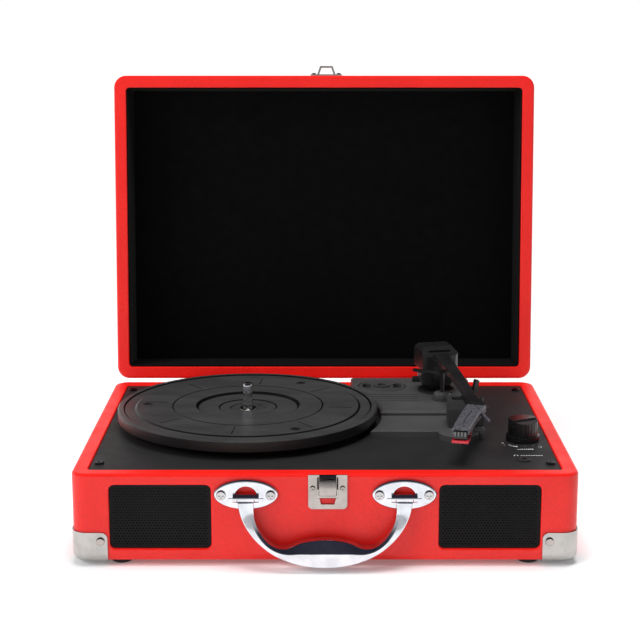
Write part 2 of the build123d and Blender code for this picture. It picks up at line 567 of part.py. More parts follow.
# ---- tonearm (own frame: pivot at the origin, forward is -Y) -------------------------------------------
def arm_turret():
    """Turret that swings on the base post and carries the arm's level pin."""
    sections = [Pos(0, 0, TOP + 9.9) * Circle(8.8), Pos(0, 0, TOP + 15) * RectangleRounded(25, 22.5, 9),
                Pos(0, 0, TOP + 24.6) * RectangleRounded(28.4, 25, 6)]
    body = loft(sections)
    body -= side_slab([(0, TOP + 24.6), (20, TOP + 20.4), (20, TOP + 30), (0, TOP + 30)], -20, 20)
    tongue = block(-5.6, 5.6, -5, 5, TOP + 18, ARM_HINGE_Z) + bar_x(5.0, -5.6, 5.6, 0, ARM_HINGE_Z)
    body += tongue
    return body - post(3.05, 0, TOP + 21.3) - bar_x(1.55, -20, 20, 0, ARM_HINGE_Z)


def arm_housing():
    """Block over the pivot: cover, counterweight and bearing in one moulding."""
    z0, z1, w = TOP + 26.0, TOP + 45.2, HOUSING_W / 2
    profile = [(-13, z0), (17, z0), (17, z1 - 7), (11, z1), (-4, z1), (-13, z1 - 6.5)]
    body = side_slab(profile, -w, w)
    trim = make_face(Polyline((-w, z0 + 1.5), (1.3 - w, z0), (w - 1.3, z0), (w, z0 + 1.5), (w, z1 - 4.5),
                              (w - 3.5, z1), (2.5 - w, z1), (-w, z1 - 3.0), close=True))
    body &= front_slab(trim, -30, 30)
    body = chamfer(body.edges().filter_by(Axis.Z), 2.4)
    body -= block(-6.0, 6.0, -7.4, 7.4, z0 - 1, TOP + 39.8)
    body -= arm_pin()
    return body - Pos(0, -8.6, z1 - 3.4) * Rot(35.8, 0, 0) * Box(HOUSING_W - 11, 2.6, 2.4)


def arm_pin():
    return bar_x(1.5, 2 - HOUSING_W / 2, HOUSING_W / 2 - 2, 0, ARM_HINGE_Z)


HEAD_START, HEAD_MID, HEAD_END = (-0.6, -109.0), (-18.0, -140.4), (-32.8, -169.8)


def head_curve():
    return ThreePointArc(HEAD_START, HEAD_MID, HEAD_END)


def head_outline(width_rear, width_front, start=0.0, end=1.0):
    """Curved tapering outline along the headshell's centre line."""
    curve, edges = head_curve(), []
    for side in (1, -1):
        row = []
        for t in (start, (start + end) / 2, end):
            p, d = curve @ t, curve % t
            w = width_rear + (width_front - width_rear) * t
            row.append((p.X - side * d.Y * w / 2, p.Y + side * d.X * w / 2))
        edges.append(row)
    left, right = edges
    return make_face([ThreePointArc(*left), Line(left[2], right[2]), ThreePointArc(*reversed(right)),
                      Line(right[0], left[0])])


def tonearm_beam():
    """Tapered arm from the housing down to the headshell: (y, width, bottom, top) at each section."""
    stations = [(-13.2, 12.6, 33.0, 41.6), (-34, 10.0, 31.6, 38.6), (-74, 8.4, 25.6, 31.6),
                (-98, 10.0, 22.0, 27.0), (-112, 13.6, 21.4, 25.6)]
    sections = [Pos(0, y, TOP + (low + high) / 2) * Rot(90, 0, 0) * RectangleRounded(w, high - low, 1.4)
                for y, w, low, high in stations]
    return loft(sections) - slab(head_outline(18, 14, 0.06, 1.0), TOP + 20, TOP + 28)


def head_frame(t):
    """Frame on the headshell's centre line with -Y forward along it."""
    p, d = head_curve() @ t, head_curve() % t
    return Pos(p.X, p.Y, 0) * Rot(0, 0, degrees(atan2(d.Y, d.X)) + 90)


def headshell():
    """Curved hollow shell with a slot along its top and a finger lift on its right."""
    shell = slab(head_outline(14.6, 12.2, 0.06, 1.0), TOP + 21.4, TOP + 25.8)
    shell = chamfer(shell.faces().sort_by(Axis.Z)[-1].edges(), 0.7)
    shell -= slab(head_outline(11.6, 9.4, 0.08, 0.96), TOP + 20, TOP + 24.2)
    shell -= slab(head_outline(1.1, 1.1, 0.30, 0.86), TOP + 25.0, TOP + 30)
    shell -= head_frame(1.0) * block(-4.8, 4.8, -3, 19.5, TOP + 20, TOP + 24.2)
    lift = side_slab([(-122.5, TOP + 24.4), (-122.5, TOP + 28.2), (-124.2, TOP + 28.2), (-129.5, TOP + 25.0),
                      (-147.5, TOP + 23.8), (-147.5, TOP + 22.4), (-129.0, TOP + 22.8)], -5.4, -3.6)
    return shell + lift


def cartridge():
    body = block(-4.6, 4.6, -1.0, 19.0, TOP + 17.6, TOP + 24.2)
    body = chamfer(body.edges().filter_by(Axis.X), 0.8)
    return head_frame(1.0) * body


def cartridge_clips():
    """Four contact clips on the front of the cartridge."""
    return [head_frame(1.0) * block(x - 0.6, x + 0.6, -2.2, -1.0, TOP + 20.4, TOP + 23.6)
            for x in (-3.6, -1.2, 1.2, 3.6)]


def stylus_holder():
    side = [(-2.6, TOP + 15.6), (-2.6, TOP + 17.4), (6.0, TOP + 17.4), (14.0, TOP + 20.4), (17.0, TOP + 20.4),
            (17.0, TOP + 18.8), (14.6, TOP + 18.6), (7.0, TOP + 15.6)]
    body = side_slab(side, -5.8, 5.8) - block(-4.8, 4.8, 3.4, 30, TOP + 10, TOP + 30)
    return head_frame(1.0) * body - stylus()


def stylus():
    """Cantilever and needle tip."""
    rod = Rot(100, 0, 0) * Cylinder(0.4, 6.4)
    tip = Pos(0, -2.9, -0.9) * Cone(0.1, 0.5, 1.1)
    x, y = STYLUS_LOCAL
    head = head_frame(1.0)
    return Pos(x, y, 0) * Rot(0, 0, head.orientation.Z) * Pos(0, 2.9, STYLUS_Z + 1.45) * (rod + tip)


# ---- controls ------------------------------------------------------------------------------
def volume_knob():
    low, high = DECK_TOP + 0.5, DECK_TOP + 0.5 + KNOB_H
    skirt = post(KNOB_R, low, low + 4.2)
    skirt = chamfer(skirt.edges().group_by(Axis.Z)[-1], 0.8)
    grip = post(KNOB_R - 1.5, low + 4, high)
    grip = chamfer(grip.edges().group_by(Axis.Z)[-1], 0.7)
    for k in range(24):
        grip -= Rot(0, 0, 15 * k) * post(0.7, low + 5.4, high + 1, KNOB_R - 1.1)
    wedge = side_slab([(-20, high - 3.4), (-2.6, high - 0.9), (-2.6, high + 1), (-20, high + 1)], -20, 20)
    body = skirt + grip - wedge + post(3.0, DECK_TOP - 14, low + 1)
    return Pos(KNOB_X, KNOB_Y, 0) * Rot(0, 0, 28) * body


def volume_pot():
    can = post(8.5, DECK_TOP - 16, DECK_TOP - DECK_T - 1.5)
    can += post(4.5, DECK_TOP - DECK_T - 1.5, DECK_TOP + 0.2)
    can += block(-8.5, 8.5, 5, 13, DECK_TOP - 12, DECK_TOP - 10.4)
    return Pos(KNOB_X, KNOB_Y, 0) * (can - post(3.05, DECK_TOP - 14.3, TOP))


def headphone_jack():
    body = block(-5, 5, -5, 5, DECK_TOP - 16, DECK_TOP - DECK_T) + post(4.0, DECK_TOP - DECK_T, DECK_TOP)
    ring = fillet(post(5.2, DECK_TOP, DECK_TOP + 1.0).edges().group_by(Axis.Z)[-1], 0.6)
    return Pos(JACK_X, JACK_Y, 0) * (body + ring - post(JACK_R, DECK_TOP - 14, TOP + 5))


def switch_bodies():
    """Slide-switch housings under the platform, with room for their stems."""
    low, high = DECK_TOP + 0.1, PLATEAU_TOP - PLATFORM_WALL
    return [block(x - 5, x + SWITCH_TRAVEL + 5, SWITCH_Y - 4, SWITCH_Y + 4, low, high)
            - block(x - 2.4, x + SWITCH_TRAVEL + 2.4, SWITCH_Y - 1.6, SWITCH_Y + 1.6, low + 1.5, high + 1)
            for x in SWITCH_X]


def switch_slider(x):
    stem = block(x - 1.5, x + 1.5, SWITCH_Y - 1.2, SWITCH_Y + 1.2, PLATEAU_TOP - 4.5, PLATEAU_TOP + 0.6)
    cap = block(x - 3.5, x + 3.5, SWITCH_Y - 3, SWITCH_Y + 3, PLATEAU_TOP + 0.3, PLATEAU_TOP + 4.0)
    cap = chamfer(cap.edges().group_by(Axis.Z)[-1], 0.8)
    for dx in (-1.6, 0, 1.6):
        cap -= block(x + dx - 0.3, x + dx + 0.3, SWITCH_Y - 5, SWITCH_Y + 5,
                     PLATEAU_TOP + 3.5, PLATEAU_TOP + 5)
    return stem + cap


def single_adapter():
    """Disc that centres a large-hole single on the spindle."""
    z0 = PLATEAU_TOP - 2.7
    body = post(ADAPTER_R, z0, z0 + 3.0)
    body = chamfer(body.edges().group_by(Axis.Z)[-1], 0.6)
    body += post(6.6, z0, z0 + 4.0) - post(3.65, z0 - 1, z0 + 6)
    body -= post(3.65, z0 - 1, z0 + 6)
    ring = Circle(16.0) - Circle(9.2)
    for heading in (0, 180):
        wedge = make_face(Polyline((0, 0), (30, -17), (30, 17), close=True))
        body -= slab(fillet((ring & wedge).vertices(), 1.6).moved(Rot(0, 0, heading)), z0 - 1, z0 + 6)
    return Pos(ADAPTER_X, ADAPTER_Y, 0) * body


# ---- speakers, amplifier and sockets --------------------------------------------------------
def speaker_grille(x):
    outline = Pos(x, SPEAKER_Z) * RectangleRounded(WINDOW_W - 0.1, WINDOW_H - 0.1, WINDOW_R - 0.05)
    return front_slab(outline, FRONT + 1.6, FRONT + 2.8)


def facing_back(shape):
    """Turn a speaker part modelled along +Z to point backwards from the front wall."""
    return Pos(0, FRONT + WALL_FRONT, SPEAKER_Z) * Rot(-90, 0, 0) * shape


def speaker_holes():
    """Screw places from the speaker's centre."""
    return [(dx, dy) for dx in (-33, 33) for dy in (-20, 20)]


def speaker_basket():
    frame = slab(RectangleRounded(76, 49.6, 4), 0, 1.5) - post(23, -1, 3)
    cup = turned([(22.9, 1.5), (24.6, 1.5), (24.6, 4), (15.6, 13), (15.6, 15), (14.0, 15),
                  (14.0, 12.5), (22.9, 3.6)])
    body = frame + cup
    for k in range(4):
        body -= Rot(0, 0, 45 + 90 * k) * block(17, 24, -5, 5, 5.6, 10.5)
    for dx, dy in speaker_holes():
        body -= post(1.7, -1, 3, dx, dy)
    return facing_back(body)


def speaker_cone():
    return facing_back(turned([(0, 9.0), (5, 8.2), (7, 9.2), (18.6, 2.8), (20.6, 1.9), (22.85, 1.9),
                               (22.85, 2.6),
                               (20.6, 2.7), (18.8, 3.8), (7.2, 10.4), (7.2, 12.2), (0, 12.2)]))


def speaker_magnet():
    return facing_back(fillet(post(15.5, 15.0, 23.0).edges(), 0.8))


def speaker_screws():
    screw = cross_screw(3.0, 1.4, 1.65, 5.5)
    return [facing_back(Pos(dx, dy, 1.5) * screw) for dx, dy in speaker_holes()]


BOARD_X, BOARD_Y, BOARD_Z = (56.0, 132.0), (30.0, 84.0), FOOT_H + FLOOR_T + 6.0


def board_holes():
    """Corners of the circuit board that stand on posts."""
    return [(x, y) for x in (BOARD_X[0] + 4, BOARD_X[1] - 4) for y in (BOARD_Y[0] + 4, BOARD_Y[1] - 4)]


def amplifier_board():
    board = block(*BOARD_X, *BOARD_Y, BOARD_Z, BOARD_Z + 1.6)
    for x, y in board_holes():
        board -= post(1.6, 0, TOP, x, y)
    return board


def board_parts():
    """Amplifier chip with its heat sink, capacitors and the wire headers."""
    z, x, y = BOARD_Z + 1.6, BOARD_X[0], BOARD_Y[0]
    sink = block(x + 24, x + 50, y + 30, y + 33, z, z + 18)
    for k in range(5):
        sink += block(x + 25 + 5.5 * k, x + 27 + 5.5 * k, y + 33, y + 41, z, z + 18)
    cans = [fillet(post(5.0, z, z + 13, x + cx, y + cy).edges().group_by(Axis.Z)[-1], 0.8)
            for cx, cy in ((14, 14), (27, 14), (60, 16))]
    chips = [block(x + 28, x + 46, y + 25, y + 29.5, z, z + 12),
             block(x + 38, x + 50, y + 8, y + 16, z, z + 2)]
    headers = [block(x + 8 + 16 * k, x + 18 + 16 * k, y + 46, y + 51, z, z + 7) for k in range(4)]
    return [sink, *cans, *chips, *headers]


def rear_plate():
    plate = block(*PLATE_X, BACK, BACK + 1.5, RCA_Z - 12, RCA_Z + 12)
    plate = fillet(plate.edges().filter_by(Axis.Y), 3.0)
    for x in RCA_X:
        plate -= bar_y(5.5, BACK - 1, BACK + 3, x, RCA_Z)
    for x in REAR_SCREW_X:
        plate -= bar_y(1.5, BACK - 1, BACK + 3, x, RCA_Z)
    return plate - bar_y(5.0, BACK - 1, BACK + 3, DC_X, RCA_Z)


def rear_screws():
    screw = Rot(-90, 0, 0) * cross_screw(2.7, 1.2, 1.5, 8.0)
    return [Pos(x, BACK + 1.5, RCA_Z) * screw for x in REAR_SCREW_X]


def rca_jacks():
    jacks = []
    for x in RCA_X:
        body = bar_y(5.5, BACK - 8, BACK + 2.5, x, RCA_Z) + bar_y(4.15, BACK + 2.5, BACK + 10.5, x, RCA_Z)
        jacks.append(body - bar_y(1.65, BACK - 4, BACK + 12, x, RCA_Z))
    return jacks


def dc_inlet():
    body = bar_y(5.0, BACK - 10, BACK + 2.5, DC_X, RCA_Z) - bar_y(2.85, BACK - 7, BACK + 4, DC_X, RCA_Z)
    return body + bar_y(1.0, BACK - 8, BACK + 2.0, DC_X, RCA_Z)


# ---- latch and handle -----------------------------------------------------------------------
PLATE_T = 1.2


def latch_plate():
    """Plate with two cheeks that carry the lever's pin, and a window under the tongue."""
    outline = Pos(LATCH_X, TOP - LATCH_H / 2 - 0.1) * Rectangle(LATCH_W, LATCH_H)
    body = front_slab(outline, FRONT - PLATE_T, FRONT)
    body = fillet(body.edges().filter_by(Axis.Y).group_by(Axis.Z)[0], 3.0)
    window = make_face(Polyline((-5.8, TOP - 16.6), (5.8, TOP - 16.6), (4.6, TOP - 21.2),
                                (-4.6, TOP - 21.2),
                                close=True))
    body -= front_slab(Pos(LATCH_X, 0) * window, FRONT - 3, FRONT + 1)
    for sx in (-1, 1):
        cheek = side_slab([(FRONT, TOP - 2), (FRONT - 2.4, TOP - 2), (FRONT - 5.6, TOP - 9),
                           (FRONT - 5.6, TOP - 15),
                           (FRONT - 2.6, TOP - 16.6), (FRONT, TOP - 16.6)], 6.2, 7.2)
        body += Pos(LATCH_X, 0, 0) * (cheek if sx > 0 else mirror(cheek, Plane.YZ))
    return body - bar_x(1.0, LATCH_X - 9, LATCH_X + 9, LATCH_PIN_Y, LATCH_PIN_Z)


def latch_rivets():
    rivet = Cylinder(1.9, 1.1, align=(Align.CENTER, Align.CENTER, Align.MIN))
    rivet = fillet(rivet.edges().group_by(Axis.Z)[-1], 0.7) - Cylinder(0.7, 4)
    return [Pos(LATCH_X + dx, FRONT - PLATE_T, TOP - 9.6) * Rot(90, 0, 0) * rivet for dx in (-10.3, 10.3)]


def latch_pin():
    return bar_x(1.0, LATCH_X - 7.2, LATCH_X + 7.2, LATCH_PIN_Y, LATCH_PIN_Z)


def latch_lever():
    """Domed tongue with a curled hook at its top, turning on the pin near its foot."""
    y = FRONT
    outer = Spline((y - 3.0, TOP - 15.8), (y - 6.2, TOP - 12.4), (y - 6.4, TOP - 7.0), (y - 5.0, TOP - 2.2),
                   (y - 3.3, TOP + 0.4))
    inner = Spline((y - 2.0, TOP - 0.6), (y - 3.4, TOP - 3.0), (y - 4.9, TOP - 7.4), (y - 5.0, TOP - 11.4))
    face = make_face([outer, Line(outer @ 1, inner @ 0), inner, Line(inner @ 1, (y - 2.4, TOP - 12.4)),
                      Line((y - 2.4, TOP - 12.4), (y - 2.1, TOP - 15.0)),
                      Line((y - 2.1, TOP - 15.0), outer @ 0)])
    body = Pos(LATCH_X - 5.8, 0, 0) * extrude(Plane.YZ * face, 11.6)
    body += bar_x(1.9, LATCH_X - 5.8, LATCH_X + 5.8, LATCH_PIN_Y, LATCH_PIN_Z)
    body -= block(LATCH_X - 4.4, LATCH_X + 4.4, FRONT - 8, FRONT - 1.5, TOP - 2.6, TOP - 1.7)
    return body - bar_x(1.05, LATCH_X - 9, LATCH_X + 9, LATCH_PIN_Y, LATCH_PIN_Z)


def handle_bracket(x):
    """Oval chrome mount with an arched opening and two lugs for the handle's pin."""
    body = front_slab(Pos(x, BRACKET_Z) * Ellipse(22.2, 10.8), FRONT - 2.4, FRONT)
    body = fillet(body.faces().filter_by(Plane.XZ).sort_by(Axis.Y)[0].edges(), 1.7)
    opening = Pos(x, HANDLE_Z) * (Circle(8.2) - Pos(0, -12.6) * Rectangle(30, 18))
    body -= front_slab(opening, FRONT - 4, FRONT + 1)
    for sx in (-1, 1):
        lug = bar_x(2.9, x + sx * 6.1, x + sx * 8.9, HANDLE_Y, HANDLE_Z) if sx > 0 else bar_x(
            2.9, x - 8.9, x - 6.1, HANDLE_Y, HANDLE_Z)
        lug += block(min(x + sx * 6.1, x + sx * 8.9), max(x + sx * 6.1, x + sx * 8.9), HANDLE_Y, FRONT,
                     HANDLE_Z - 2.9, HANDLE_Z + 2.9)
        body += lug
    body -= bar_x(1.5, x - 12, x + 12, HANDLE_Y, HANDLE_Z)
    for dx in (-BRACKET_SCREW_X, BRACKET_SCREW_X):
        body -= bar_y(1.8, FRONT - 4, FRONT + 1, x + dx, BRACKET_Z)
    return body


def handle_pins():
    return [bar_x(1.5, x - 8.9, x + 8.9, HANDLE_Y, HANDLE_Z) for x in (-HANDLE_X, HANDLE_X)]


def bracket_screws():
    screw = Rot(90, 0, 0) * cross_screw(3.4, 1.6, 1.75, 9.0)
    return [Pos(x + dx, FRONT - 2.4, BRACKET_Z) * screw
            for x in (-HANDLE_X, HANDLE_X) for dx in (-BRACKET_SCREW_X, BRACKET_SCREW_X)]


# Handle sections from the middle of the grip out to the arm's top: the outer point, the inner
# point (x, below the case top), the front and how far down the section its front face runs flat.
GRIP_BACK = 2.6
HANDLE_SECTIONS = [
    ((0.0, -62.6), (0.0, -43.8), 14.6, 9.8, 0.54), ((11.0, -61.8), (9.5, -44.6), 14.6, 9.8, 0.54),
    ((20.0, -59.9), (18.0, -46.4), 14.6, 10.2, 0.55), ((27.5, -57.3), (25.6, -49.3), 14.4, 11.6, 0.58),
    ((35.0, -53.9), (32.6, -49.0), 13.6, 11.6, 0.6), ((42.5, -48.8), (38.8, -45.6), 12.4, 10.8, 0.6),
    ((49.5, -42.0), (44.2, -39.2), 11.0, 9.6, 0.65), ((54.6, -34.8), (47.4, -32.6), 9.6, 8.4, 0.7),
    ((58.2, -26.5), (48.7, -25.8), 8.2, 7.2, 0.75), ((59.9, -18.6), (48.7, -18.4), 7.2, 6.6, 0.8)]


def handle_section(outer, inner, front, inner_front, flat, side):
    """One rounded section of the handle, on the right (side 1) or left (side -1)."""
    (x0, z0), (x1, z1) = outer, inner
    dx, dz = side * (x1 - x0), z1 - z0
    deep = hypot(dx, dz)
    plane = Plane(origin=(side * x0, FRONT, TOP + z0), x_dir=(dx, 0, dz), z_dir=(dz, 0, -dx))
    ring = make_face(Polyline((0, GRIP_BACK), (0, front), (flat * deep, front), (deep, inner_front),
                              (deep, GRIP_BACK), close=True))
    return plane * fillet(ring.vertices(), 0.9)


def handle():
    right = [handle_section(*row, 1) for row in HANDLE_SECTIONS]
    left = [handle_section(*row, -1) for row in reversed(HANDLE_SECTIONS[1:])]
    body = loft(left + right)
    for x in (-HANDLE_X, HANDLE_X):
        body += bar_x(3.3, x - 5.6, x + 5.6, HANDLE_Y, HANDLE_Z)
    return body - bar_x(1.55, -80, 80, HANDLE_Y, HANDLE_Z)


def main():
    os.makedirs("parts", exist_ok=True)
    case = {
        "base_shell": [base_shell()], "feet": feet(), "corner_protectors": corner_protectors(),
        "rivets": protector_nails() + latch_rivets(), "deck_panel": [deck_panel()],
        "deck_screws": deck_screws(),
        "base_hinge_leaves": hinge_leaves(False), "pins": hinge_pins() + handle_pins() + [latch_pin()],
        "case_screws": bracket_screws() + hinge_screws(HINGE_Z - LEAF_SCREW),
        "latch_plate": [latch_plate()], "latch_lever": [latch_lever()],
        "handle_brackets": [handle_bracket(x) for x in (-HANDLE_X, HANDLE_X)], "handle": [handle()],
    }
    lid = {
        "lid_shell": [lid_shell()], "lid_lining": [lid_lining()], "lid_catch": [lid_catch()],
        "lid_hinge_leaves": hinge_leaves(True),
        "lid_fasteners": catch_rivets() + hinge_screws(HINGE_Z + LEAF_SCREW),
    }
    drive = {
        "platter": [platter()], "platter_pads": platter_pads(), "platter_bush": [platter_bush()],
        "spindle": [spindle()], "spindle_clip": [spindle_clip()], "spindle_housing": [spindle_housing()],
        "motor": [motor()], "motor_bracket": [motor_bracket()], "motor_grommets": motor_grommets(),
        "motor_pulley": [motor_pulley()], "drive_belt": [drive_belt()],
    }
    platform = {
        "arm_platform": [arm_platform()], "arm_rest": [arm_rest()], "arm_base": [arm_base()],
        "lifter": [lifter()], "cue_lever": [cue_lever()], "switch_bodies": switch_bodies(),
        "speed_slider": [switch_slider(SWITCH_X[0])], "auto_stop_slider": [switch_slider(SWITCH_X[1])],
        "single_adapter": [single_adapter()],
    }
    arm = {
        "arm_turret": [arm_turret()], "arm_housing": [arm_housing()], "arm_pin": [arm_pin()],
        "tonearm_beam": [tonearm_beam()], "headshell": [headshell()], "cartridge": [cartridge()],
        "cartridge_clips": cartridge_clips(), "stylus_holder": [stylus_holder()], "stylus": [stylus()],
    }
    sound = {
        "volume_knob": [volume_knob()], "volume_pot": [volume_pot()], "headphone_jack": [headphone_jack()],
        "amplifier_board": [amplifier_board()], "board_parts": board_parts(), "rear_plate": [rear_plate()],
        "rca_jacks": rca_jacks(), "dc_inlet": [dc_inlet()],
        "speaker_grilles": [speaker_grille(x) for x in (-SPEAKER_X, SPEAKER_X)],
    }
    for name, make in (("speaker_baskets", speaker_basket), ("speaker_cones", speaker_cone),
                       ("speaker_magnets", speaker_magnet)):
        sound[name] = [Pos(x, 0, 0) * make() for x in (-SPEAKER_X, SPEAKER_X)]
    sound["chassis_screws"] = motor_screws() + rear_screws() + [
        Pos(x, 0, 0) * screw for x in (-SPEAKER_X, SPEAKER_X) for screw in speaker_screws()]
    for group in (case, drive, platform, sound):
        for name, solids in group.items():
            save(name, *solids)
    for name, solids in lid.items():
        save(name, *[opened(solid) for solid in solids])
    for name, solids in arm.items():
        save(name, *[ARM_PIVOT * solid for solid in solids])


if __name__ == "__main__":
    main()
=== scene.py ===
import json
import math

import bmesh
import bpy
from mathutils import Matrix, Vector


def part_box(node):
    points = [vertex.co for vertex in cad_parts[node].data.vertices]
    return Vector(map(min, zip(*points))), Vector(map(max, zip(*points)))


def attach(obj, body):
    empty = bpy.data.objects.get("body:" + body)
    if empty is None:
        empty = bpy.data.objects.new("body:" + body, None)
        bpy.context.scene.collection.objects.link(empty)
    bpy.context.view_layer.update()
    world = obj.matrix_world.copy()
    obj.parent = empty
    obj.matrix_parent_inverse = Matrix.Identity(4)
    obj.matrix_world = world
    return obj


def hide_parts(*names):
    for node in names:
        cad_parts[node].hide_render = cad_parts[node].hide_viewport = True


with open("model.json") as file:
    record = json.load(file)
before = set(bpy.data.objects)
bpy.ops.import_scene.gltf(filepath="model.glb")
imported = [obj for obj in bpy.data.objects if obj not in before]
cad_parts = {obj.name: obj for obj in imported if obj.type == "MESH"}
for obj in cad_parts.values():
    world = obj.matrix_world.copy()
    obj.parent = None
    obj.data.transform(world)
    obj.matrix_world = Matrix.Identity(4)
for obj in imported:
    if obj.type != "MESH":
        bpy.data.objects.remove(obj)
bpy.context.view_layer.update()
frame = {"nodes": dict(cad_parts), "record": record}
NODES = frame["nodes"]
MM = 0.001

# sockets of the colour Mix node, whose names repeat for every data type
MIX_A, MIX_B, MIX_OUT = 6, 7, 2


# ---- camera, floor and light ---------------------------------------------------------------
CAMERA_LENS_MM, CAMERA_SENSOR_MM = 87.56, 36.0
CAMERA_PLACE, CAMERA_TILT_DOWN = (-0.0035, -1.1462, 0.3945), 12.17


def make_camera():
    data = bpy.data.cameras.new("camera")
    data.lens = CAMERA_LENS_MM
    data.sensor_width = CAMERA_SENSOR_MM
    camera = bpy.data.objects.new("camera", data)
    camera.location = CAMERA_PLACE
    camera.rotation_euler = (math.radians(90 - CAMERA_TILT_DOWN), 0, 0)
    bpy.context.scene.collection.objects.link(camera)
    bpy.context.scene.camera = camera


def softbox(name, place, aim, width, height, power):
    """A rectangular lamp at place that faces aim and is not mirrored in gloss."""
    data = bpy.data.lights.new(name, "AREA")
    data.shape = "RECTANGLE"
    data.size, data.size_y = width, height
    data.energy = power
    lamp = bpy.data.objects.new(name, data)
    lamp.location = place
    lamp.rotation_euler = (Vector(aim) - Vector(place)).to_track_quat("-Z", "Y").to_euler()
    lamp.visible_glossy = False
    bpy.context.scene.collection.objects.link(lamp)


def make_world():
    """White behind the object; greyer and darker overhead behind the camera, for the chrome to mirror."""
    world = bpy.data.worlds.new("studio")
    bpy.context.scene.world = world
    world.use_nodes = True
    nodes, links = world.node_tree.nodes, world.node_tree.links
    coords = nodes.new("ShaderNodeTexCoord")
    split = nodes.new("ShaderNodeSeparateXYZ")
    links.new(coords.outputs["Generated"], split.inputs[0])

    def spread(socket, low, high):
        node = nodes.new("ShaderNodeMapRange")
        node.inputs["From Min"].default_value = low
        node.inputs["From Max"].default_value = high
        links.new(socket, node.inputs["Value"])
        return node.outputs[0]

    def ramp(stops):
        node = nodes.new("ShaderNodeValToRGB")
        while len(node.color_ramp.elements) < len(stops):
            node.color_ramp.elements.new(0.5)
        for element, (at, red, green, blue) in zip(node.color_ramp.elements, stops):
            element.position = at
            element.color = (red, green, blue, 1)
        links.new(spread(split.outputs["Z"], -1.0, 1.0), node.inputs[0])
        return node.outputs[0]

    behind_object = ramp(((0.0, 1.05, 1.05, 1.05), (0.58, 1.05, 1.05, 1.05), (0.68, 0.6, 0.6, 0.6),
                          (0.80, 0.12, 0.12, 0.13), (1.0, 0.05, 0.05, 0.06)))
    behind_camera = ramp(((0.0, 0.56, 0.56, 0.56), (0.55, 0.60, 0.60, 0.61), (0.64, 0.40, 0.40, 0.42),
                          (0.70, 0.05, 0.05, 0.07), (1.0, 0.02, 0.02, 0.035)))
    blend = nodes.new("ShaderNodeMix")
    blend.data_type = "RGBA"
    links.new(spread(split.outputs["Y"], -0.1, 0.45), blend.inputs["Factor"])
    links.new(behind_camera, blend.inputs[MIX_A])
    links.new(behind_object, blend.inputs[MIX_B])
    links.new(blend.outputs[MIX_OUT], nodes["Background"].inputs["Color"])


def make_floor():
    """White floor that ends behind the object, where the white world carries on."""
    mesh = bpy.data.meshes.new("floor")
    side, front, back = 1.6, -1.6, 0.75
    corners = [(-side, front, 0), (side, front, 0), (side, back, 0), (-side, back, 0)]
    mesh.from_pydata(corners, [], [(0, 1, 2, 3)])
    floor = bpy.data.objects.new("floor", mesh)
    bpy.context.scene.collection.objects.link(floor)
    look = bpy.data.materials.new("floor_white")
    look.use_nodes = True
    shader = look.node_tree.nodes["Principled BSDF"]
    shader.inputs["Base Color"].default_value = (0.93, 0.93, 0.93, 1)
    shader.inputs["Roughness"].default_value = 0.9
    shader.inputs["Specular IOR Level"].default_value = 0.0
    shader.inputs["Emission Color"].default_value = (1, 1, 1, 1)
    shader.inputs["Emission Strength"].default_value = 0.12
    mesh.materials.append(look)


# ---- materials -----------------------------------------------------------------------------
def srgb(red, green, blue):
    """Display colour, 11 to 255, as the shader's linear colour."""
    return tuple(((c / 255 + 0.055) / 1.055) ** 2.4 for c in (red, green, blue))


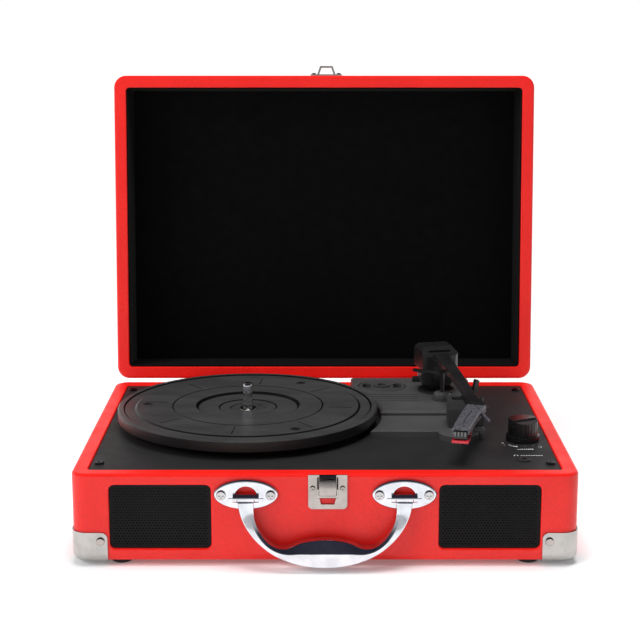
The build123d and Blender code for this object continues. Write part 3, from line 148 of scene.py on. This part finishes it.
class Look:
    """A node material that is built up a layer at a time."""

    def __init__(self, name, metal=0.0, specular=0.5, coat=0.0):
        self.material = bpy.data.materials.new(name)
        self.material.use_nodes = True
        self.nodes, self.links = self.material.node_tree.nodes, self.material.node_tree.links
        self.shader = self.nodes["Principled BSDF"]
        self.place = self.nodes.new("ShaderNodeTexCoord").outputs["Object"]
        self.shader.inputs["Metallic"].default_value = metal
        self.shader.inputs["Specular IOR Level"].default_value = specular
        self.shader.inputs["Coat Weight"].default_value = coat
        self.shader.inputs["Coat Roughness"].default_value = 0.1
        self.normal = None

    def noise(self, size_mm, detail=3.0, stretch=(1, 1, 1)):
        """Noise whose features are about size_mm across, stretched along an axis."""
        node = self.nodes.new("ShaderNodeTexNoise")
        node.inputs["Scale"].default_value = 1 / (size_mm * MM)
        node.inputs["Detail"].default_value = detail
        node.inputs["Roughness"].default_value = 0.55
        if stretch == (1, 1, 1):
            self.links.new(self.place, node.inputs["Vector"])
        else:
            mapping = self.nodes.new("ShaderNodeMapping")
            mapping.inputs["Scale"].default_value = stretch
            self.links.new(self.place, mapping.inputs["Vector"])
            self.links.new(mapping.outputs[0], node.inputs["Vector"])
        return node.outputs["Fac"]

    def cells(self, size_mm, feature="F1"):
        """Distance within cells about size_mm across."""
        node = self.nodes.new("ShaderNodeTexVoronoi")
        node.feature = feature
        node.inputs["Scale"].default_value = 1 / (size_mm * MM)
        self.links.new(self.place, node.inputs["Vector"])
        return node.outputs["Distance"]

    def span(self, value, low, high, to_low=0.0, to_high=1.0):
        """Map a value's range on to another, clamped."""
        node = self.nodes.new("ShaderNodeMapRange")
        for key, number in (("From Min", low), ("From Max", high), ("To Min", to_low), ("To Max", to_high)):
            node.inputs[key].default_value = number
        self.links.new(value, node.inputs["Value"])
        return node.outputs[0]

    def maths(self, kind, a, b=0.0):
        """A Math node on two numbers or sockets."""
        node = self.nodes.new("ShaderNodeMath")
        node.operation = kind
        for socket, value in zip(node.inputs, (a, b)):
            if isinstance(value, (int, float)):
                socket.default_value = value
            else:
                self.links.new(value, socket)
        return node.outputs[0]

    def mix(self, factor, a, b):
        """Colour a where factor is 0 and b where it is 1; each a colour or a socket."""
        node = self.nodes.new("ShaderNodeMix")
        node.data_type = "RGBA"
        self.links.new(factor, node.inputs["Factor"])
        for socket, value in ((node.inputs[MIX_A], a), (node.inputs[MIX_B], b)):
            if isinstance(value, tuple):
                socket.default_value = (*value, 1)
            else:
                self.links.new(value, socket)
        return node.outputs[MIX_OUT]

    def edge(self, radius_mm):
        """1 on the piece's convex and concave edges, 0 on its faces."""
        bevel = self.nodes.new("ShaderNodeBevel")
        bevel.samples = 4
        bevel.inputs["Radius"].default_value = radius_mm * MM
        geometry = self.nodes.new("ShaderNodeNewGeometry")
        dot = self.nodes.new("ShaderNodeVectorMath")
        dot.operation = "DOT_PRODUCT"
        self.links.new(bevel.outputs[0], dot.inputs[0])
        self.links.new(geometry.outputs["Normal"], dot.inputs[1])
        return self.span(dot.outputs["Value"], 0.999, 0.85)

    def crevice_shade(self, reach_mm):
        """Painted shade mask from ambient occlusion: 1 down in the piece's own grooves and inner corners, 0
        in the open.
        """
        occlusion = self.nodes.new("ShaderNodeAmbientOcclusion")
        occlusion.only_local = True
        occlusion.samples = 6
        occlusion.inputs["Distance"].default_value = reach_mm * MM
        return self.span(occlusion.outputs["AO"], 0.9, 0.45)

    def rings(self, centre, bands):
        """1 on the rings round an upright axis, given as radius and half width in mm."""
        split = self.nodes.new("ShaderNodeSeparateXYZ")
        self.links.new(self.place, split.inputs[0])
        x = self.maths("SUBTRACT", split.outputs["X"], centre.x)
        y = self.maths("SUBTRACT", split.outputs["Y"], centre.y)
        squares = self.maths("ADD", self.maths("MULTIPLY", x, x), self.maths("MULTIPLY", y, y))
        reach = self.maths("SQRT", squares)
        total = 0.0
        for radius, half in bands:
            off = self.maths("ABSOLUTE", self.maths("SUBTRACT", reach, radius * MM))
            total = self.maths("MAXIMUM", self.span(off, half * 0.6 * MM, half * MM, 1.0, 0.0), total)
        return total

    def upright(self):
        """1 on faces that stand upright, 0 on level ones."""
        geometry = self.nodes.new("ShaderNodeNewGeometry")
        split = self.nodes.new("ShaderNodeSeparateXYZ")
        self.links.new(geometry.outputs["Normal"], split.inputs[0])
        return self.span(self.maths("ABSOLUTE", split.outputs["Z"]), 0.75, 0.35)

    def colour(self, value):
        if isinstance(value, tuple):
            self.shader.inputs["Base Color"].default_value = (*value, 1)
        else:
            self.links.new(value, self.shader.inputs["Base Color"])
        return self

    def roughness(self, value):
        self.links.new(value, self.shader.inputs["Roughness"])
        return self

    def bump(self, height, depth_mm, strength=1.0):
        node = self.nodes.new("ShaderNodeBump")
        node.inputs["Distance"].default_value = depth_mm * MM
        node.inputs["Strength"].default_value = strength
        self.links.new(height, node.inputs["Height"])
        if self.normal is not None:
            self.links.new(self.normal, node.inputs["Normal"])
        self.normal = node.outputs[0]
        self.links.new(self.normal, self.shader.inputs["Normal"])
        return self

    def done(self):
        return self.material


def leatherette():
    """Red grained covering: small pebbles, faint creases, lighter rubbed edges."""
    look = Look("red_leatherette", specular=0.42)
    pebble = look.cells(0.95)
    crease = look.noise(1.6, 4.0)
    cloud = look.noise(60, 2.0)
    base = look.mix(look.span(cloud, 0.35, 0.65), (0.80, 0.0125, 0.0085), (0.88, 0.0165, 0.0105))
    base = look.mix(look.span(crease, 0.45, 0.62, 0.0, 0.35), base, (0.66, 0.009, 0.007))
    rubbed = look.maths("MULTIPLY", look.edge(1.2), look.span(look.noise(7, 4.0), 0.45, 0.75, 0, 0.35))
    look.colour(look.mix(rubbed, base, (0.93, 0.06, 0.045)))
    look.roughness(look.span(look.noise(14, 3.0), 0.3, 0.7, 0.36, 0.47))
    look.bump(look.span(pebble, 0.0, 0.75, 1.0, 0.0), 0.05, 0.55)
    look.bump(crease, 0.06, 0.5)
    return look.done()


def plastic(name, base, light, rough, grain_mm, depth_mm, specular=0.5, rub_and_highlight=0.3, cloud_mm=35):
    """Moulded plastic: fine spark-eroded grain, tone that drifts from base to light, edges paler from rubbed
    wear and, at a large edge amount, as painted highlight; painted shade darkens its grooves and inner
    corners.
    """
    look = Look(name, specular=specular)
    tone = look.mix(look.span(look.noise(cloud_mm, 3.0), 0.35, 0.65), base, light)
    # edges paler: rubbed wear, and painted highlight where the edge amount is large
    wear_and_highlight = look.maths("MULTIPLY", look.edge(0.5), look.span(look.noise(5, 4.0), 0.4, 0.7, 0.0, rub_and_highlight))
    tone = look.mix(wear_and_highlight, tone, tuple(min(1.0, c * 2.6 + 0.012) for c in light))
    # painted shade: colour darkened to a fifth in the piece's grooves and inner corners
    look.colour(look.mix(look.crevice_shade(1.4), tone, tuple(c * 0.2 for c in base)))
    look.roughness(look.span(look.noise(18, 4.0), 0.3, 0.7, rough - 0.05, rough + 0.06))
    look.bump(look.noise(grain_mm, 2.0), depth_mm, 0.6)
    return look.done()


def platter_plastic():
    """Matte top with a faint cloudy sheen; painted shade makes it nearly black down its upright sides and in
    its rings and grooves.
    """
    look = Look("platter_black", specular=0.4)
    # near black for the painted shade on the sides and in the grooves
    dark = (0.004, 0.004, 0.0042)
    cloud = look.span(look.noise(48, 3.0, (1, 2.2, 1)), 0.35, 0.65)
    tone = look.mix(cloud, (0.036, 0.036, 0.0365), (0.050, 0.050, 0.0505))
    tone = look.mix(look.span(look.noise(3.0, 4.0), 0.55, 0.72, 0.0, 0.25), tone, (0.075, 0.075, 0.075))
    # painted shade: upright sides darkened to near black
    tone = look.mix(look.upright(), tone, dark)
    low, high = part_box("platter")
    # painted shade: dark rings laid over the grooves, joined with the occlusion shade
    grooves = look.rings((low + high) / 2, ((57.2, 0.75), (21.9, 0.7), (38.7, 1.3), (85.3, 1.0), (94.1, 0.8)))
    look.colour(look.mix(look.maths("MAXIMUM", look.crevice_shade(2.2), grooves), tone, dark))
    look.roughness(look.span(look.noise(18, 4.0), 0.3, 0.7, 0.30, 0.44))
    look.bump(look.noise(0.4, 2.0), 0.010, 0.6)
    return look.done()


def metal(name, base, rough, brushed=None, depth_mm=0.004, smudge=0.06, dark=0.82):
    """Plated or bare metal: faint smudges, fine scratches, an optional brushed direction."""
    look = Look(name, metal=1.0)
    tone = look.mix(look.span(look.noise(9, 4.0), 0.4, 0.68), base, tuple(c * dark for c in base))
    look.colour(tone)
    look.roughness(look.span(look.noise(6, 5.0), 0.35, 0.7, rough, rough + smudge))
    if brushed:
        look.bump(look.noise(0.6, 3.0, brushed), depth_mm, 0.5)
    else:
        look.bump(look.noise(2.5, 2.0), depth_mm, 0.25)
    return look.done()


def flocked():
    """Black lining with a short pile."""
    look = Look("black_lining", specular=0.12)
    look.shader.inputs["Sheen Weight"].default_value = 0.02
    pile = look.noise(0.5, 2.0)
    look.colour(look.mix(look.span(pile, 0.35, 0.65), (0.0012, 0.0012, 0.0013), (0.0034, 0.0034, 0.0036)))
    look.roughness(look.span(look.noise(8, 2.0), 0.3, 0.7, 0.82, 0.95))
    look.bump(pile, 0.12, 0.7)
    return look.done()


def headshell_plastic():
    """Grey plastic with a coarse sparkle grain and fine lines along it."""
    look = Look("shell_grey", specular=0.5)
    speck = look.cells(0.45)
    tone = look.mix(look.span(speck, 0.1, 0.6), srgb(84, 85, 90), srgb(44, 45, 50))
    look.colour(look.mix(look.span(look.noise(0.8, 3.0), 0.5, 0.62), tone, srgb(112, 113, 118)))
    look.roughness(look.span(look.noise(3, 3.0), 0.3, 0.7, 0.38, 0.52))
    look.bump(look.span(speck, 0.0, 0.6, 1.0, 0.0), 0.06, 0.8)
    return look.done()


def circuit_board():
    """Green lacquered board with copper tracks showing through."""
    look = Look("board_green", specular=0.5, coat=0.3)
    tracks = look.cells(3.2, "DISTANCE_TO_EDGE")
    look.colour(look.mix(look.span(tracks, 0.04, 0.09), (0.03, 0.22, 0.09), (0.012, 0.12, 0.045)))
    look.roughness(look.span(look.noise(6, 3.0), 0.3, 0.7, 0.35, 0.5))
    look.bump(look.span(tracks, 0.04, 0.09, 1.0, 0.0), 0.03, 0.6)
    return look.done()


def make_looks():
    """One look for each material slot of the CAD."""
    return {
        "red_leatherette": leatherette(),
        "black_lining": flocked(),
        "black_rubber": plastic(
            "black_rubber", (0.012, 0.012, 0.012), (0.02, 0.02, 0.02), 0.62, 0.6, 0.03, 0.35),
        "bright_chrome": metal("bright_chrome", (0.74, 0.755, 0.80), 0.05),
        "satin_chrome": metal("satin_chrome", (0.47, 0.425, 0.395), 0.22, (1, 1, 0.06), 0.006),
        "bright_screws": metal("bright_screws", (0.56, 0.55, 0.55), 0.18),
        "dark_screws": metal("dark_screws", (0.07, 0.07, 0.072), 0.32, None, 0.01),
        "deck_black": plastic(
            "deck_black", (0.018, 0.018, 0.0182), (0.021, 0.021, 0.0213), 0.55, 0.5, 0.03, 0.4, 0.2),
        "platter_black": platter_plastic(),
        "arm_black": plastic(
            "arm_black", (0.012, 0.012, 0.0125), (0.018, 0.018, 0.0185), 0.40, 0.35, 0.014, 0.5, 0.4),
        "shell_grey": headshell_plastic(),
        "ruby_plastic": plastic(
            "ruby_plastic", (0.55, 0.008, 0.022), (0.62, 0.012, 0.03), 0.22, 0.8, 0.006, 0.6, 0.1, 3),
        "gloss_black": plastic(
            "gloss_black", (0.006, 0.006, 0.006), (0.009, 0.009, 0.009), 0.2, 0.8, 0.005, 0.5, 0.2),
        "turned_steel": metal("turned_steel", (0.66, 0.66, 0.67), 0.16, (0.05, 0.05, 1), 0.006),
        "motor_steel": metal("motor_steel", (0.55, 0.56, 0.57), 0.30, (1, 1, 0.08), 0.01),
        "nylon": plastic("nylon", (0.60, 0.58, 0.52), (0.66, 0.64, 0.58), 0.45, 0.6, 0.02),
        "grille_black": plastic(
            "grille_black", (0.004, 0.004, 0.0046), (0.006, 0.006, 0.0068), 0.55, 0.4, 0.012, 0.14, 0.3),
        "cone_paper": plastic(
            "cone_paper", (0.02, 0.02, 0.02), (0.04, 0.04, 0.04), 0.85, 1.2, 0.08, 0.2),
        "magnet_ceramic": plastic(
            "magnet_ceramic", (0.03, 0.03, 0.033), (0.05, 0.05, 0.053), 0.7, 0.9, 0.04, 0.3),
        "board_green": circuit_board(),
        "print_white": plastic(
            "print_white", (0.55, 0.55, 0.55), (0.68, 0.68, 0.68), 0.5, 0.5, 0.006, 0.4, 0.1),
        "part_plastic": plastic(
            "part_plastic", (0.02, 0.02, 0.025), (0.04, 0.04, 0.045), 0.35, 0.7, 0.01),
        "socket_plastic": plastic(
            "socket_plastic", (0.015, 0.015, 0.015), (0.022, 0.022, 0.022), 0.4, 0.5, 0.01),
    }


LOOKS = make_looks()
SLOT_OF = {row["node"]: row["material_slot"] for row in frame["record"]["subparts"]}

# pieces whose surface differs from the rest of their slot
OWN_LOOK = {
    "arm_platform": plastic(
        "platform_black", (0.058, 0.058, 0.0585), (0.068, 0.068, 0.0685), 0.36, 0.4, 0.014, 0.5, 0.4),
    "arm_rest": plastic(
        "rest_black", (0.024, 0.024, 0.0245), (0.031, 0.031, 0.0315), 0.36, 0.4, 0.012, 0.5, 0.4),
    "single_adapter": plastic(
        "adapter_black", (0.045, 0.045, 0.0455), (0.055, 0.055, 0.0555), 0.34, 0.4, 0.01, 0.5, 0.4),
    # edge amount 1.0 paints pale highlight lines along the turret's edges; the housing and beam share this
    # look
    "arm_turret": plastic(
        "turret_black", (0.010, 0.010, 0.0104), (0.016, 0.016, 0.0164), 0.28, 0.4, 0.008, 0.6, 1.0),
    "lifter": plastic(
        "lifter_black", (0.006, 0.006, 0.006), (0.009, 0.009, 0.009), 0.30, 0.4, 0.008, 0.5, 0.3),
    "cue_lever": plastic(
        "lever_black", (0.005, 0.005, 0.005), (0.008, 0.008, 0.008), 0.30, 0.4, 0.008, 0.5, 0.5),
    "volume_knob": plastic(
        "knob_black", (0.004, 0.004, 0.004), (0.007, 0.007, 0.007), 0.26, 0.5, 0.006, 0.5, 0.5),
    "cartridge_clips": metal("clip_metal", (0.16, 0.16, 0.165), 0.3),
    "corner_protectors": metal("corner_nickel", (0.47, 0.46, 0.44), 0.17, None, 0.008),
    "speaker_baskets": metal("basket_black", (0.02, 0.02, 0.021), 0.45),
}
for node_name in ("arm_housing", "tonearm_beam"):
    OWN_LOOK[node_name] = OWN_LOOK["arm_turret"]


def dress_cad():
    """Give every CAD object its look."""
    for name, node in NODES.items():
        look = OWN_LOOK.get(name) or LOOKS[SLOT_OF[name]]
        if not node.material_slots:
            node.data.materials.append(look)
        for material_slot in node.material_slots:
            material_slot.material = look


# ---- new pieces ------------------------------------------------------------------------------
def mesh_piece(name, mesh, look, body):
    """A piece from a finished mesh, riding on a body."""
    mesh.name = name
    mesh.materials.clear()
    mesh.materials.append(look)
    piece = bpy.data.objects.new(name, mesh)
    bpy.context.scene.collection.objects.link(piece)
    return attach(piece, body)


def curve_mesh(curve):
    """The mesh that a curve or text makes."""
    holder = bpy.data.objects.new("outline", curve)
    bpy.context.scene.collection.objects.link(holder)
    bpy.context.view_layer.update()
    mesh = bpy.data.meshes.new_from_object(holder.evaluated_get(bpy.context.evaluated_depsgraph_get()))
    bpy.data.objects.remove(holder)
    return mesh


def flat_shape(outlines, thick_mm):
    """A mesh of closed outlines in the XY plane (mm), holes included, centred on Z = 0."""
    curve = bpy.data.curves.new("outline", "CURVE")
    curve.dimensions = "2D"
    curve.fill_mode = "BOTH"
    curve.extrude = thick_mm / 2 * MM
    for outline in outlines:
        spline = curve.splines.new("POLY")
        spline.points.add(len(outline) - 1)
        spline.use_cyclic_u = True
        for point, (x, y) in zip(spline.points, outline):
            point.co = (x * MM, y * MM, 0, 1)
    mesh = curve_mesh(curve)
    work = bmesh.new()
    work.from_mesh(mesh)
    bmesh.ops.remove_doubles(work, verts=work.verts, dist=0.002 * MM)
    work.to_mesh(mesh)
    work.free()
    return mesh


def circle(x, y, r, sides=10):
    """Outline of a circle."""
    turns = [2 * math.pi * k / sides for k in range(sides)]
    return [(x + r * math.cos(a), y + r * math.sin(a)) for a in turns]


def rounded_rectangle(width, height, r, steps=8):
    """Outline of a rectangle with round corners, centred on the origin."""
    points = []
    for sx, sy, start in ((1, 1, 0), (-1, 1, 90), (-1, -1, 180), (1, -1, 270)):
        for k in range(steps + 1):
            a = math.radians(start + 90 * k / steps)
            points.append((sx * (width / 2 - r) + r * math.cos(a), sy * (height / 2 - r) + r * math.sin(a)))
    return points


# speaker grille, in mm
PITCH_X, PITCH_Y, HOLE_R = 2.2, 1.9, 0.5
GRILLE_SHAPE, GRILLE_CORNER, SHEET_THICK = 70.1 / 45.9, 3.95, 0.9
PLAIN_MARGIN, CORNER_REACH, CORNER_KEEP = 3.6, 4, 2.2


def make_grilles():
    """Perforated steel sheets over the speakers, with real holes."""
    low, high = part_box("speaker_grilles")
    height = (high.z - low.z) / MM
    width = height * GRILLE_SHAPE
    outlines = [rounded_rectangle(width, height, GRILLE_CORNER)]
    rows, columns = int((height - PLAIN_MARGIN) / PITCH_Y), int((width - PLAIN_MARGIN) / PITCH_X)
    for row in range(rows):
        y = (row - (rows - 1) / 2) * PITCH_Y
        for column in range(columns - row % 2):
            x = (column - (columns - 1 - row % 2) / 2) * PITCH_X
            past_x, past_y = abs(x) - width / 2 + CORNER_REACH, abs(y) - height / 2 + CORNER_REACH
            in_corner = past_x > 0 and past_y > 0
            if not in_corner or math.hypot(past_x, past_y) < CORNER_KEEP:
                outlines.append(circle(x, y, HOLE_R))
    sheet = flat_shape(outlines, SHEET_THICK)
    y, z = (low.y + high.y) / 2, (low.z + high.z) / 2
    for side, name in ((-1, "left_grille"), (1, "right_grille")):
        mesh = sheet.copy()
        x = side * (high.x - width * MM / 2)
        mesh.transform(Matrix.Translation((x, y, z)) @ Matrix.Rotation(math.radians(90), 4, "X"))
        piece = mesh_piece(name, mesh, LOOKS["grille_black"], "case")
        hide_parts("speaker_grilles")


def bar(x0, x1, y0, y1):
    """Outline of a rectangle."""
    return [(x0, y0), (x1, y0), (x1, y1), (x0, y1)]


def arc_band(x, y, r0, r1, start, end, steps=12):
    """Outline of a band round x, y whose outer radius grows from r0 to r1."""
    turns = [math.radians(start + (end - start) * k / steps) for k in range(steps + 1)]
    radii = [r0 + (r1 - r0) * k / steps for k in range(steps + 1)]
    inner_r = r0 - 0.25
    outer = [(x + r * math.cos(a), y + r * math.sin(a)) for r, a in zip(radii, turns)]
    inner = [(x + inner_r * math.cos(a), y + inner_r * math.sin(a)) for a in reversed(turns)]
    return outer + inner


def numeral(text, x, y, size_mm):
    """Printed number, centred on x, y."""
    curve = bpy.data.curves.new("numeral", "FONT")
    curve.body = text
    curve.size = size_mm * MM
    curve.align_x = curve.align_y = "CENTER"
    curve.extrude = PRINT_THICK / 2 * MM
    mesh = curve_mesh(curve)
    mesh.transform(Matrix.Translation((x * MM, y * MM, 0)))
    return mesh


# printing on the deck, in mm; each numeral is text, x, y and height
KNOB_AT = (146.0, -41.5)
DOT_ORBIT = 16.4
PRINT_THICK, PRINT_LIFT, JACK_RIM = 0.04, 0.05, 1.0
NUMERALS = (("0", 130.4, -50.6, 3.4), ("1", 130.9, -55.8, 2.6), ("10", 156.2, -60.4, 3.2))


def make_deck_marks():
    """Numbers and a widening arc round the volume knob, and a headphone sign with dashes by the socket."""
    shapes = [arc_band(*KNOB_AT, 18.6, 19.8, -132, -108)]
    for turn in (-132, -111, -90, -69, -48):
        a = math.radians(turn)
        x, y = KNOB_AT[0] + DOT_ORBIT * math.cos(a), KNOB_AT[1] + DOT_ORBIT * math.sin(a)
        shapes.append(circle(x, y, 0.32))
    # a row of growing dashes under the knob, then a row of even ones beside the headphone sign
    for k in range(8):
        shapes.append(bar(139.2 + 1.5 * k, 140.2 + 1.5 * k, -66.8, -65.9 + 0.16 * k))
    for k in range(9):
        shapes.append(bar(139.6 + 1.8 * k, 140.9 + 1.8 * k, -81.7, -80.7))
    # the headphone sign: a bow over two ear pads
    shapes.append(arc_band(136.4, -81.0, 1.35, 1.6, 0, 180))
    shapes.append(bar(134.7, 135.5, -82.0, -80.9))
    shapes.append(bar(137.3, 138.1, -82.0, -80.9))
    work = bmesh.new()
    work.from_mesh(flat_shape(shapes, PRINT_THICK))
    for text, x, y, size_mm in NUMERALS:
        work.from_mesh(numeral(text, x, y, size_mm))
    marks = bpy.data.meshes.new("deck_marks")
    work.to_mesh(marks)
    work.free()
    deck_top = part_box("headphone_jack")[1].z - JACK_RIM * MM
    marks.transform(Matrix.Translation((0, 0, deck_top + PRINT_LIFT * MM)))
    mesh_piece("deck_marks", marks, LOOKS["print_white"], "case")


make_camera()
make_world()
make_floor()
softbox("key_light", (-1.7, -1.3, 1.5), (0, 0, 0.12), 1.3, 1.3, 33)
softbox("top_light", (0.1, 0.0, 2.1), (0, 0, 0.1), 1.4, 1.0, 44)
dress_cad()
make_grilles()
make_deck_marks()

bpy.context.scene.view_settings.view_transform = "Standard"
